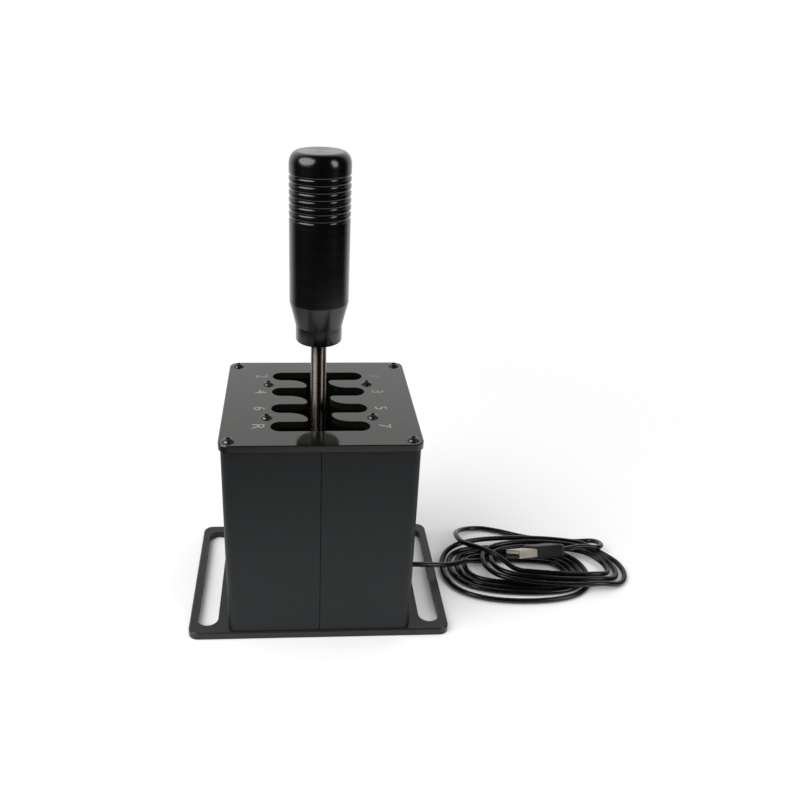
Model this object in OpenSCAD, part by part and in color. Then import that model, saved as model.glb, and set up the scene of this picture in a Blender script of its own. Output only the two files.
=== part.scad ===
// Gear shifter for driving games: a housing of two shells on a slotted base plate, a gate plate with four rows, and a
// lever that slides along a cross shaft to choose its row and tilts about it to engage a gear.
// X points to the odd gears, Y from the driver's near row to the far one, and Z up from the underside of the base.

/* [Housing] */
// Width of the housing, side to side
body_w = 95; // [92:0.5:105]
// Depth of the housing, front to back
body_d = 95; // [92:0.5:105]
// Height of the shells, from the base plate to the cover plate
body_h = 107.5; // [100:0.5:120]
// Wall of the shells
wall = 2.5; // [2:0.1:3]
// Radius of the upright edges of the shells
edge_r = 4; // [3.6:0.1:6]
// Wall of the screw bosses outside their thread
boss_wall = 2; // [1.6:0.1:2]
// Gap of the seam between the two shells
seam_gap = 0.4; // [0.2:0.1:0.8]
// Length of the lap behind the seam
lap_len = 3; // [2:0.5:5]
// Gap between the two layers of the lap
lap_gap = 0.1; // [0.05:0.05:0.3]

/* [Base plate] */
// Thickness of the base plate
base_t = 4; // [3:0.5:6]
// Reach of the base plate past the housing at each side
base_wing = 21; // [18:0.5:30]
// Reach of the base plate past the housing at the front and the back
base_lip = 1; // [0.5:0.5:5]
// Radius of the corners of the base plate
base_edge_r = 5; // [3:0.5:10]
// Width of the fixing slots
slot_w = 11; // [6:0.5:12]
// Rail left outside each fixing slot
slot_rail = 4; // [3:0.5:5]
// Distance from the ends of a fixing slot to the edges of the plate
slot_end = 6; // [5:0.5:20]
// Chamfer round the top of the base plate
base_chamfer = 0.6; // [0.2:0.1:1]

/* [Cover plate] */
// Thickness of the cover plate
cover_t = 3.5; // [3:0.5:5]
// Reach of the cover plate past the shells
cover_lip = 1; // [0:0.5:2]
// Chamfer round the top of the cover plate
cover_chamfer = 0.4; // [0.2:0.1:0.8]

/* [Gate] */
// Distance between the shift rows
row_pitch = 19.5; // [18.5:0.25:20]
// Width of a shift row
row_w = 10; // [9:0.25:11]
// Reach of a shift row from the middle of the gate
row_reach = 24.3; // [24:0.1:26]
// Width of the neutral channel
channel_w = 12; // [11:0.5:13]
// Length of the easing on the guided side of a gate finger
finger_ease = 10; // [6:0.5:12]
// Height of the tip above the straight side of a gate finger
finger_tip = 2; // [1:0.25:4]
// Length of the easing on the straight side of a gate finger
finger_round = 2.5; // [1:0.25:4]

/* [Screws] */
// Radius of the screw threads
screw_r = 1.5; // [1.25:0.25:1.5]
// Length of the cover screws
screw_len = 12; // [10:0.5:16]
// Radius of the button heads
head_r = 2.85; // [2.5:0.05:3]
// Height of the button heads
head_h = 1.65; // [1.4:0.05:2]
// Width of the hexagon sockets across their flats
socket_af = 2; // [1.5:0.1:2.5]
// Depth of the hexagon sockets
socket_depth = 1; // [0.6:0.1:1.2]
// Radius of the countersunk heads
sunk_r = 3; // [2.8:0.1:3.2]
// Height of the countersunk heads
sunk_h = 1.65; // [1.4:0.05:2]
// Length of the screws through the base plate
base_screw_len = 12; // [10:0.5:16]
// Distance of the gate screws from the middle, side to side
gate_screw_x = 26.3; // [26:0.1:29]
// Small screws of the circuit board and the leaf, thread radius
small_r = 1.25; // [1:0.05:1.25]
// Small screws, head radius
small_head_r = 2.1; // [1.8:0.1:2.2]
// Small screws, head height
small_head_h = 1.4; // [1:0.1:1.5]

/* [Lever] */
// Radius of the lever rod
rod_r = 4; // [3.5:0.1:4.2]
// Sideways throw of the rod at the middle of the cover plate
throw = 18.8; // [17:0.1:19]
// Length of the rod inside the knob
rod_grip = 40; // [20:1:60]
// Gap between the cover plate and the knob
knob_lift = 29.5; // [20:0.5:60]
// Length of the knob
knob_len = 93.7; // [80:0.1:110]
// Radius of the knob
knob_r = 14.8; // [14:0.1:18]
// Radius of the flat on top of the knob
knob_flat_r = 10.6; // [8:0.1:12]
// Height of the rounded shoulder of the knob
shoulder_h = 6; // [3:0.5:8]
// Number of grooves round the knob
groove_count = 7; // [1:1:9]
// Distance between the grooves
groove_pitch = 3.3; // [3:0.1:4]
// Depth of the grooves
groove_depth = 0.5; // [0.3:0.1:0.8]
// Radius of the round cutter of the grooves
groove_r = 1.2; // [0.9:0.1:1.4]
// Distance from the top of the knob to the first groove
groove_start = 10.7; // [9:0.1:20]
// Radius of the collar at the foot of the knob
collar_r = 11.7; // [10:0.1:13]
// Height of the collar
collar_h = 8.5; // [4:0.5:10]
// Height of the taper above the collar
taper_h = 12.5; // [8:0.5:16]
// Chamfer at the foot of the collar
collar_chamfer = 0.8; // [0.4:0.1:1.5]

/* [Mechanism] */
// Height of the lever pivot above the base plate
pivot_h = 38; // [37:0.5:40]
// Radius of the cross shaft
shaft_r = 4; // [3.5:0.1:4]
// Wall of the bronze bushes
bush_wall = 1.45; // [1:0.05:1.5]
// Running clearance of the bushes and the guide rods
run_gap = 0.05; // [0.02:0.01:0.1]
// Clearance of seated round pieces
seat_gap = 0.02; // [0.01:0.01:0.04]
// Radius of the hub round the cross shaft
hub_r = 9; // [8:0.25:9.5]
// Width of the hub along the cross shaft
hub_w = 9; // [8:0.5:9.5]
// Gap between the hub and the cheeks of the carriage
cheek_gap = 0.3; // [0.2:0.05:0.5]
// Thickness of the cheeks of the carriage
cheek_t = 2.5; // [2:0.1:3]
// Thickness of the bush flanges that the springs press on
flange_t = 1; // [0.8:0.1:1.5]
// Radius of the bush flanges
flange_r = 7.2; // [7:0.1:8]
// Radius of the collar that holds the rod
socket_r = 7.5; // [7:0.1:8]
// Height of the collar that holds the rod
socket_h = 14; // [10:0.5:18]
// Web between the cross shaft and the foot of the rod
rod_web = 1; // [0.8:0.1:2]
// Lock nut, width across its flats
nut_af = 13; // [12:0.5:14]
// Lock nut, height
nut_h = 5; // [4:0.5:6.5]
// Radius of the detent sector
sector_r = 16; // [15:0.25:16]
// Half angle of the detent sector
sector_angle = 24; // [22:1:26]
// Radius of the detent grooves
detent_r = 1.6; // [1.4:0.05:1.7]
// Clearance of the leaf in a detent groove
detent_gap = 0.1; // [0.1:0.05:0.2]
// How far the centre of a detent groove lies outside the sector
detent_out = 0.9; // [0.7:0.1:1]
// Thickness of the detent leaf
leaf_t = 0.6; // [0.4:0.05:0.7]
// Width of the detent leaf
leaf_w = 8.6; // [8.6:0.1:9]
// Half length of the carriage bridge, side to side
bridge_x = 19; // [18:0.5:20]
// Height of the carriage bridge
bridge_h = 10; // [9:0.5:10]
// Gap between the carriage bridge and the frame floor
bridge_gap = 1.5; // [1:0.1:2]
// Radius of the guide rods
guide_r = 2.5; // [2:0.1:2.8]
// Distance of the guide rods from the middle
guide_x = 14; // [13:0.5:15]
// Height of the guide rods above the foot of the carriage bridge
guide_h = 4; // [4:0.1:5]
// Wire of the centring springs
spring_wire = 0.8; // [0.5:0.1:0.8]
// Mean radius of the centring springs
spring_r = 6; // [5.6:0.1:6.4]
// Curls of a centring spring
spring_curls = 4; // [3:1:4]
// Length of the magnet arm from the pivot
arm_reach = 14; // [13:0.5:14]
// Radius of the magnet
magnet_r = 2.5; // [2:0.1:2.8]
// Length of the magnet
magnet_len = 4; // [3:0.5:4]
// Depth of the magnet in its arm
magnet_seat = 2; // [1:0.5:2]

/* [Frame] */
// Thickness of the folded frame
frame_t = 2.5; // [2:0.1:3]
// Height of the feet of the frame
foot_h = 4.5; // [3.5:0.5:5]
// Radius of the feet of the frame
foot_r = 4; // [3.5:0.1:5]
// Distance of the feet from the middle, side to side
foot_x = 22; // [20:0.5:24]
// Distance of the feet from the middle, front to back
foot_y = 34; // [28:0.5:36]
// Gap between the frame and the shells
frame_gap = 0.5; // [0.3:0.1:1]
// Bend radius inside the folds of the frame
fold_r = 1; // [0.5:0.5:2]
// Half width of the end walls of the frame
end_wall_x = 22; // [20:0.5:24]
// Reach of the frame floor past the gate screws
floor_reach = 4.7; // [4:0.1:6]
// Width of the hexagonal pillars across their flats
pillar_af = 6; // [5.5:0.5:6]
// End play of the shaft and the guide rods
end_play = 0.2; // [0.1:0.1:0.4]

/* [Circuit board] */
// Thickness of the circuit board
board_t = 1.6; // [1:0.1:2]
// Half length of the circuit board
board_y = 36; // [35:0.5:38]
// Half height of the circuit board
board_z = 14; // [13:0.5:14]
// Gap between the sweep of the magnet and the sensors
sensor_gap = 0.8; // [0.5:0.1:1]
// Width and height of a sensor
sensor_w = 3; // [2.5:0.1:3.2]
// Thickness of a sensor
sensor_t = 1.6; // [1:0.1:1.6]
// Length of the board spacers
spacer_len = 1.5; // [1:0.1:2]
// Radius of the board spacers
spacer_r = 3; // [2.5:0.1:3.4]
// Distance of the board screws from the middle, front to back
board_screw_y = 10; // [9:0.5:10]
// Distance of the board screws from the pivot, up and down
board_screw_z = 10.5; // [10:0.1:10.8]
// Side of the controller chip
chip_w = 12; // [7:1:12]
// Thickness of the controller chip
chip_t = 1.4; // [0.8:0.1:1.4]

/* [Cable] */
// Diameter of the cable
cable_d = 3; // [2.5:0.1:3]
// Distance of the cable outlet from the middle, front to back
outlet_y = -5; // [-8:0.5:0]
// Height of the cable outlet
outlet_z = 13; // [12:0.5:15]
// Clearance of the cable in its grommet
cable_gap = 0.05; // [0.02:0.01:0.1]
// Wall of the grommet neck
grommet_wall = 1.45; // [1:0.05:2]
// Thickness of the grommet flanges
grommet_flange_t = 1.4; // [1:0.1:2]
// Reach of the grommet flanges past the neck
grommet_flange = 1.5; // [1:0.1:2]

/* [Plug] */
// Width of the plug shell
plug_w = 12; // [11.8:0.1:12.2]
// Height of the plug shell
plug_h = 4.5; // [4.3:0.1:4.7]
// Length of the plug shell outside its grip
plug_len = 13; // [11:0.1:14]
// Depth of the plug shell inside its grip
plug_seat = 4; // [2:0.5:6]
// Sheet of the plug shell
plug_sheet = 0.3; // [0.2:0.05:0.4]
// Width of the plug grip
grip_w = 14; // [13.5:0.1:16]
// Height of the plug grip
grip_h = 7.5; // [6.5:0.1:8.5]
// Length of the full part of the plug grip
grip_len = 18.5; // [10:0.5:20]
// Length of the tapered end of the plug grip
grip_taper = 4; // [2:0.5:8]
// Corner radius of the plug grip
grip_r = 1.5; // [1:0.1:2.5]

/* [Hidden] */
$fn = 64;
HULL_FN = 24;
CUT = 1;
THREAD_GAP = 0.05;
HOLE_GAP = 0.2;
SUNK_GAP = 0.1;

base_w = body_w + 2 * base_wing;
base_d = body_d + 2 * base_lip;
slot_x = base_w / 2 - slot_rail - slot_w / 2;
slot_len = base_d - 2 * slot_end;
inner_x = body_w / 2 - wall;
inner_y = body_d / 2 - wall;
corner_x = body_w / 2 - edge_r;
corner_y = body_d / 2 - edge_r;
lap_t = (wall - lap_gap) / 2;
cover_z = base_t + body_h;
cover_top = cover_z + cover_t;
boss_r = min(screw_r + boss_wall, edge_r - 0.1);

rows = [for (i = [-1.5:1:1.5]) i * row_pitch];
row_y = row_pitch / 2;
row_end_r = row_w / 2;

pivot_z = base_t + pivot_h;
tilt = atan(throw / (cover_z + cover_t / 2 - pivot_z));
bush_r = shaft_r + run_gap + bush_wall;
cheek_y = hub_w / 2 + cheek_gap;
carriage_y = cheek_y + cheek_t;
flange_y = carriage_y + flange_t;

frame_z = base_t + foot_h;
floor_z = frame_z + frame_t;
frame_y = inner_y - frame_gap;
frame_inner_y = frame_y - frame_t;
frame_x = gate_screw_x + floor_reach;
frame_top = pivot_z + hub_r;
shaft_len = 2 * (inner_y - end_play);
bridge_z = floor_z + bridge_gap;
bridge_top = bridge_z + bridge_h;
guide_z = bridge_z + guide_h;

rod_z = pivot_z + hub_r + rod_web;
socket_top = rod_z + socket_h;
knob_z = cover_top + knob_lift;
rod_top = knob_z + rod_grip;
detent_at = sector_r + detent_out;
leaf_bump_r = detent_r - detent_gap;
leaf_x = bridge_x - 1;
leaf_fixed = 7.5;
leaf_screw_y = 2.2;
leaf_screw_len = 3;
magnet_x = arm_reach - magnet_seat;
magnet_end = magnet_x + magnet_len;
magnet_sweep = sqrt(magnet_end * magnet_end + magnet_r * magnet_r);

sensor_x = magnet_sweep + sensor_gap;
sensor_z = (magnet_x + magnet_len / 2) * sin(tilt);
board_x = sensor_x + sensor_t;
board_back = board_x + board_t;
tab_x = board_back + spacer_len;
tab_y = board_screw_y + spacer_r + 1;
tab_top = pivot_z + board_screw_z + spacer_r + 0.5;
board_screw_len = board_t + spacer_len + frame_t + 1;
chip_y = board_y - chip_w / 2 - 2;
connector_w = 10;
connector_h = 6;
connector_t = 5.3;
connector_y = -board_y + connector_w / 2 + 1;
connector_z = pivot_z - 6;

cable_r = cable_d / 2;
outlet = [body_w / 2, outlet_y, outlet_z];
grommet_bore = cable_r + cable_gap;
grommet_r = grommet_bore + grommet_wall;

// The cable inside the housing runs from the grommet to the connector on the circuit board.
INNER_ROUTE = [
    outlet,
    [inner_x - grommet_flange_t, outlet_y, outlet_z],
    [inner_x - grommet_flange_t - cable_d, outlet_y, outlet_z],
    [inner_x - 8, outlet_y - 4, outlet_z + 2.5],
    [inner_x - 9.5, outlet_y - 12, outlet_z + 9],
    [inner_x - 10, connector_y + 6, connector_z - 6],
    [board_back + connector_t + 2 * cable_d, connector_y + 1, connector_z - 1],
    [board_back + connector_t + cable_d, connector_y, connector_z],
    [board_back + connector_t, connector_y, connector_z]
];
// The free cable comes out level, drops to the floor inside the loops and meets the first of them.
LEAD_ROUTE = [
    outlet, [54, -5, 13], [64, -4, 11.8], [74, -1.2, 9.4], [82, 3.6, 6.9], [87.8, 7.6, 5.1], [92.6, 10.3, 3.1],
    [97.2, 12.1, 1.75], [102.5, 13.1, 1.5]
];
// After the loops the cable crosses over their ends, swings round behind and turns back into the plug.
TAIL_ROUTE = [
    [115.7, -1.7, 5.8], [112.2, -0.2, 7.3], [108.4, 2.2, 9.5], [104, 5.4, 11.1], [98.6, 9.8, 11.8], [92, 14.8, 11.2],
    [87, 21, 9.8],
    [85.6, 30.5, 8], [89, 39, 4.6], [96, 44.5, 2.2], [105, 45.5, 1.6], [116, 42, 1.6], [127, 37, 1.6], [139, 33, 1.6],
    [151, 31, 1.6], [159.5, 30.3, 1.6], [166, 30.1, 1.9], [169.8, 29.1, 2.7], [172.5, 26.4, 3.9], [173.5, 22.6, 5.2],
    [172.5, 18.8, 6.5], [169.9, 16, 7.5], [166, 14.9, 8.3], [161, 14.9, 8.9], [156, 14.4, 9.1]
];
// The plug lies with its grip on the loops and its nose on the cable that crosses them, turned to the front, with its
// near edge up.
PLUG_REAR = [144.2, 10.2, 10.6];
PLUG_TURN = 22;
PLUG_NOSE_UP = 11;
PLUG_ROLL = 30;
plug_aim = [-cos(PLUG_TURN) * cos(PLUG_NOSE_UP), -sin(PLUG_TURN) * cos(PLUG_NOSE_UP), sin(PLUG_NOSE_UP)];

// The loops wind outwards on the floor, climb onto themselves and wind inwards again on top.
LOOP_TURNS = 6.6;
LOOP_START = 105;
LOOP_RINGS = 24;
LOOP_ROUND = 0.04;
LOOP_LEAN = 3.5;
LOOP_CHANGE = [3.8, 4.25];
LOOP_CLIMB = [3.74, 3.94];
LOOP_FALL = [160, 178];
LAYER_STEP = 3.7;
// The long sides sag inwards at their middle: the front ones, and the back ones on the floor.
FRONT_SAG = 3;
BACK_SAG = 4.5;
// The widest loop on the floor swings out to the front, and back before it climbs.
SWING = 3.5;
SWING_OUT = [3.3, 3.62];
SWING_BACK = [3.66, 4];
// Half length, half width and middle of the loops: at the first turn of the floor layer, with their growth per turn
FLOOR_LOOPS = [[26.5, 4.4], [13.4, 4.2], [117.5, -0.2], [3.4, 0]];
// The same at the last turn of the upper layer
UPPER_LOOPS = [[31, -5], [12.8, -4.9], [138, 0], [4.6, 0]];

// Shared shapes

module at_four(x, y) {
    for (sx = [-1, 1], sy = [-1, 1])
        translate([sx * x, sy * y])
            children();
}

module rounded_rect(w, d, r) {
    square([w - 2 * r, d], center = true);
    square([w, d - 2 * r], center = true);
    at_four(w / 2 - r, d / 2 - r)
        circle(r);
}

// A slot with round ends along X
module round_slot(len, w) {
    square([len - w, w], center = true);
    for (s = [-1, 1])
        translate([s * (len - w) / 2, 0])
            circle(w / 2);
}

// A flat outline in X and Z, given its thickness along Y about y = 0
module upright(thickness) {
    rotate([90, 0, 0])
        linear_extrude(thickness, center = true)
            children();
}

// A round bar along Y about y = 0
module bar_y(r, len) {
    rotate([90, 0, 0])
        cylinder(r = r, h = len, center = true);
}

// A round bar along X from x = 0
module bar_x(r, len) {
    rotate([0, 90, 0])
        cylinder(r = r, h = len);
}

module hexagon(af, h) {
    cylinder(d = af / cos(30), h = h, $fn = 6);
}

// A domed screw head on z = 0 with a hexagon socket, and its thread below
module button_screw(r, len, head_radius, head_height, af, depth) {
    rim = head_height / 5;
    cap = head_height - rim;
    dome = (head_radius * head_radius + cap * cap) / (2 * cap);
    difference() {
        intersection() {
            translate([0, 0, head_height - dome])
                sphere(dome);
            cylinder(r = head_radius, h = head_height);
        }
        translate([0, 0, head_height - depth])
            hexagon(af, depth + CUT);
    }
    translate([0, 0, -len])
        cylinder(r = r, h = len);
}

// A countersunk screw up from z = 0 with a hexagon socket in its underside
module sunk_screw(len) {
    difference() {
        union() {
            cylinder(r1 = sunk_r, r2 = screw_r, h = sunk_h);
            cylinder(r = screw_r, h = len);
        }
        translate([0, 0, -CUT])
            hexagon(socket_af, socket_depth + CUT);
    }
}

// The hole that a countersunk screw sits in
module sunk_hole(depth) {
    cylinder(r1 = sunk_r + SUNK_GAP, r2 = screw_r + SUNK_GAP, h = sunk_h);
    translate([0, 0, -CUT])
        cylinder(r = screw_r + HOLE_GAP, h = depth + 2 * CUT);
}

// What a chamfer takes off round the top of a plate whose top is at z = 0
module edge_chamfer(w, d, r, c) {
    over = 0.1;
    section = [[r - c - over, over], [r + over, over], [r + over, -c - over]];
    for (turn = [0, 180])
        rotate(turn) {
            translate([w / 2 - r, 0, 0])
                upright(d - 2 * r)
                    polygon(section);
            rotate(90)
                translate([d / 2 - r, 0, 0])
                    upright(w - 2 * r)
                        polygon(section);
            translate([w / 2 - r, d / 2 - r, 0])
                rotate_extrude(angle = 90)
                    polygon(section);
            translate([r - w / 2, d / 2 - r, 0])
                rotate(90)
                    rotate_extrude(angle = 90)
                        polygon(section);
        }
}

// Swept tubes

function unit(v) = v / norm(v);

function last(list) = list[len(list) - 1];

function curve_point(a, b, c, d, u) =
    0.5 * (2 * b + (c - a) * u + (2 * a - 5 * b + 4 * c - d) * u * u + (3 * b - a - 3 * c + d) * u * u * u);

// A smooth curve through the points of a route, with so many steps from each point to the next
function smooth_curve(route, steps) = [
    for (i = [0:len(route) - 2], k = [0:steps - 1])
        let (
            before = i > 0 ? route[i - 1] : 2 * route[0] - route[1],
            after = i < len(route) - 2 ? route[i + 2] : 2 * route[i + 1] - route[i]
        )
        curve_point(before, route[i], route[i + 1], after, k / steps),
    last(route)
];

function ring(centre, aim, r, sides, axis) =
    let (
        across = unit(cross(aim, axis)),
        up = cross(across, aim)
    )
    [for (k = [0:sides - 1]) centre + r * (cos(360 * k / sides) * across + sin(360 * k / sides) * up)];

// A tube along a path. Its two ends face the ways given, and no part of it runs along the axis.
module tube(path, r, sides, axis, first_aim, last_aim) {
    n = len(path);
    aims = [
        first_aim,
        for (i = [1:n - 2]) unit(path[i + 1] - path[i - 1]),
        last_aim
    ];
    points = [for (i = [0:n - 1]) each ring(path[i], aims[i], r, sides, axis)];
    walls = [
        for (i = [0:n - 2], k = [0:sides - 1])
            let (
                a = i * sides + k,
                b = i * sides + (k + 1) % sides
            )
            each [[a, b, b + sides], [a, b + sides, a + sides]]
    ];
    top = (n - 1) * sides;
    caps = [for (k = [1:sides - 2]) each [[0, k + 1, k], [top, top + k, top + k + 1]]];
    polyhedron(points, concat(walls, caps));
}

// The least distance between two points of a path that are more than so many points apart
function least_distance(path, apart) =
    min([for (i = [0:len(path) - apart - 1], j = [i + apart:len(path) - 1]) norm(path[i] - path[j])]);

// Base plate and housing

module base_plate() {
    color("#3a3b3c")
        difference() {
            linear_extrude(base_t)
                difference() {
                    rounded_rect(base_w, base_d, base_edge_r);
                    for (s = [-1, 1])
                        translate([s * slot_x, 0])
                            rotate(90)
                                round_slot(slot_len, slot_w);
                }
            translate([0, 0, base_t])
                edge_chamfer(base_w, base_d, base_edge_r, base_chamfer);
            at_four(corner_x, corner_y)
                sunk_hole(base_t);
            at_four(foot_x, foot_y)
                sunk_hole(base_t);
        }
}

module shell_ring() {
    difference() {
        rounded_rect(body_w, body_d, edge_r);
        rounded_rect(body_w - 2 * wall, body_d - 2 * wall, edge_r - wall);
    }
}

// One half of the shell's outline, on the side s, with its two screw bosses
module half_outline(s) {
    intersection() {
        shell_ring();
        translate([s * (seam_gap + body_w) / 2, 0])
            square([body_w, body_d + 2 * CUT], center = true);
    }
    for (sy = [-1, 1])
        translate([s * corner_x, sy * corner_y])
            circle(boss_r);
}

module boss_bores(s) {
    for (sy = [-1, 1])
        translate([s * corner_x, sy * corner_y])
            circle(screw_r + THREAD_GAP);
}

module left_shell() {
    color("#26292c")
        translate([0, 0, base_t])
            linear_extrude(body_h)
                difference() {
                    union() {
                        half_outline(-1);
                        for (sy = [-1, 1])
                            translate([-seam_gap / 2, sy * (inner_y + lap_t / 2)])
                                square([2 * lap_len, lap_t], center = true);
                    }
                    boss_bores(-1);
                }
}

module right_shell() {
    color("#26292c")
        difference() {
            translate([0, 0, base_t])
                linear_extrude(body_h)
                    difference() {
                        half_outline(1);
                        boss_bores(1);
                        for (sy = [-1, 1])
                            translate([seam_gap / 2, sy * (inner_y + (lap_t + lap_gap) / 2)])
                                square([2 * lap_len, lap_t + lap_gap], center = true);
                    }
            translate([inner_x - CUT, outlet_y, outlet_z])
                bar_x(grommet_r + seat_gap, wall + 2 * CUT);
        }
}

// The easing of a gate finger beside the neutral channel, above the straight side of the finger at y = 0
module finger_cut() {
    finger_w = row_pitch - row_w;
    tip_x = -channel_w / 2;
    over = 0.5;
    steps = 12;
    rise = finger_w - finger_tip;
    polygon([
        for (k = [0:steps])
            let (a = 90 * k / steps)
            [tip_x - finger_ease * (1 - sin(a)), finger_tip + rise * cos(a)],
        [tip_x + over, finger_tip],
        [tip_x + over, finger_w + over],
        [tip_x - finger_ease, finger_w + over]
    ]);
    polygon([
        for (k = [0:steps])
            let (a = 90 * k / steps)
            [tip_x - finger_round * (1 - sin(a)), finger_tip * (1 - cos(a))],
        [tip_x + over, finger_tip],
        [tip_x + over, -over],
        [tip_x - finger_round, -over]
    ]);
}

module gate() {
    for (y = rows)
        translate([0, y])
            round_slot(2 * row_reach, row_w);
    square([channel_w, 3 * row_pitch], center = true);
    for (turn = [0, 180], i = [0:2])
        rotate(turn)
            translate([0, rows[i] + row_w / 2])
                finger_cut();
}

module cover_plate() {
    cover_w = body_w + 2 * cover_lip;
    cover_d = body_d + 2 * cover_lip;
    cover_r = edge_r + cover_lip;
    color("#17181a")
        difference() {
            translate([0, 0, cover_z])
                linear_extrude(cover_t)
                    difference() {
                        rounded_rect(cover_w, cover_d, cover_r);
                        gate();
                        at_four(corner_x, corner_y)
                            circle(screw_r + HOLE_GAP);
                        at_four(gate_screw_x, row_pitch)
                            circle(screw_r + HOLE_GAP);
                    }
            translate([0, 0, cover_top])
                edge_chamfer(cover_w, cover_d, cover_r, cover_chamfer);
        }
}

module cover_screws() {
    color("#111213")
        at_four(corner_x, corner_y)
            translate([0, 0, cover_top])
                button_screw(screw_r, screw_len, head_r, head_h, socket_af, socket_depth);
}

module gate_screws() {
    color("#111213")
        at_four(gate_screw_x, row_pitch)
            translate([0, 0, cover_top])
                button_screw(screw_r, screw_len, head_r, head_h, socket_af, socket_depth);
}

module base_screws() {
    color("#111213")
        at_four(corner_x, corner_y)
            sunk_screw(base_screw_len);
}

module pillars() {
    thread_depth = screw_len - cover_t + CUT;
    stud_len = frame_t - HOLE_GAP;
    color("#b9a04c")
        at_four(gate_screw_x, row_pitch)
            translate([0, 0, floor_z]) {
                difference() {
                    hexagon(pillar_af, cover_z - floor_z);
                    translate([0, 0, cover_z - floor_z - thread_depth])
                        cylinder(r = screw_r + THREAD_GAP, h = thread_depth + CUT);
                }
                translate([0, 0, -stud_len])
                    cylinder(r = screw_r, h = stud_len + CUT / 2);
            }
}

// Frame and what it carries

// The solid inside of a U fold, from its underside to its open top
module fold_fill(half, bottom, top, r) {
    translate([-half, bottom + r])
        square([2 * half, top - bottom - r]);
    translate([r - half, bottom])
        square([2 * (half - r), 2 * r]);
    for (s = [-1, 1])
        translate([s * (half - r), bottom + r])
            circle(r);
}

// The outline of an end wall, seen along the cross shaft
module end_wall() {
    shoulder = guide_z + guide_r + 2;
    translate([-end_wall_x, frame_z])
        square([2 * end_wall_x, shoulder - frame_z]);
    polygon([[-end_wall_x, shoulder], [end_wall_x, shoulder], [hub_r, pivot_z], [-hub_r, pivot_z]]);
    translate([0, pivot_z])
        circle(hub_r);
}

module mechanism_frame() {
    color("#8d9092")
        difference() {
            union() {
                intersection() {
                    rotate([90, 0, 90])
                        linear_extrude(2 * end_wall_x, center = true)
                            difference() {
                                fold_fill(frame_y, frame_z, frame_top, fold_r + frame_t);
                                fold_fill(frame_inner_y, floor_z, frame_top + CUT, fold_r);
                            }
                    upright(2 * frame_y + CUT)
                        end_wall();
                }
                translate([0, 0, frame_z])
                    linear_extrude(frame_t)
                        square([2 * frame_x, 2 * (frame_y - frame_t - fold_r)], center = true);
                translate([tab_x, -tab_y, frame_z])
                    cube([frame_t, 2 * tab_y, tab_top - frame_z]);
                at_four(foot_x, foot_y)
                    translate([0, 0, base_t])
                        cylinder(r = foot_r, h = foot_h + CUT);
            }
            translate([tab_x + frame_t, -tab_y, frame_z - CUT])
                cube([frame_x, 2 * tab_y, frame_t + 2 * CUT]);
            translate([0, 0, pivot_z])
                bar_y(shaft_r + seat_gap, 2 * body_d);
            for (s = [-1, 1])
                translate([s * guide_x, 0, guide_z])
                    bar_y(guide_r + seat_gap, 2 * body_d);
            at_four(foot_x, foot_y)
                translate([0, 0, base_t - CUT])
                    cylinder(r = screw_r + THREAD_GAP, h = foot_h + frame_t + 2 * CUT);
            at_four(gate_screw_x, row_pitch)
                translate([0, 0, frame_z - CUT])
                    cylinder(r = screw_r + THREAD_GAP, h = frame_t + 2 * CUT);
            for (sy = [-1, 1], sz = [-1, 1])
                translate([tab_x - CUT, sy * board_screw_y, pivot_z + sz * board_screw_z])
                    bar_x(small_r + THREAD_GAP, frame_t + 2 * CUT);
        }
}

module frame_screws() {
    color("#111213")
        at_four(foot_x, foot_y)
            sunk_screw(floor_z);
}

module cross_shaft() {
    color("#c3c6c8")
        translate([0, 0, pivot_z])
            bar_y(shaft_r, shaft_len);
}

module guide_rods() {
    color("#c3c6c8")
        for (s = [-1, 1])
            translate([s * guide_x, 0, guide_z])
                bar_y(guide_r, shaft_len);
}

// A coil spring round the cross shaft between two places along it
module centring_spring(from, to) {
    inset = spring_wire / 2 + 0.02;
    steps = 8 * spring_curls;
    travel = to - from - 2 * inset;
    path = [
        for (i = [0:steps])
            let (a = 360 * spring_curls * i / steps)
            [spring_r * cos(a), from + inset + travel * i / steps, pivot_z + spring_r * sin(a)]
    ];
    echo("spring: least gap between curls", travel / spring_curls - spring_wire);
    color("#9da1a4")
        tube(path, spring_wire / 2, 6, [0, 1, 0], unit(path[1] - path[0]), unit(last(path) - path[steps - 1]));
}

module front_spring() {
    centring_spring(-frame_inner_y, row_y - flange_y);
}

module back_spring() {
    centring_spring(row_y + flange_y, frame_inner_y);
}

// Carriage

module cheek() {
    translate([0, pivot_z])
        circle(hub_r);
    polygon([[-hub_r, pivot_z], [hub_r, pivot_z], [bridge_x, bridge_top], [-bridge_x, bridge_top]]);
}

module carriage() {
    color("#6f7477")
        translate([0, row_y, 0])
            difference() {
                union() {
                    for (s = [-1, 1])
                        translate([0, s * (cheek_y + cheek_t / 2), 0])
                            upright(cheek_t)
                                cheek();
                    translate([-bridge_x, -carriage_y, bridge_z])
                        cube([2 * bridge_x, 2 * carriage_y, bridge_h]);
                }
                translate([0, 0, pivot_z])
                    bar_y(bush_r + seat_gap, 3 * carriage_y);
                for (s = [-1, 1])
                    translate([s * guide_x, 0, guide_z])
                        bar_y(guide_r + run_gap, 3 * carriage_y);
                for (s = [-1, 1])
                    translate([leaf_fixed / 2 - leaf_x, s * leaf_screw_y, bridge_top + leaf_t - leaf_screw_len])
                        cylinder(r = small_r + THREAD_GAP, h = leaf_screw_len + CUT);
            }
}

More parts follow.
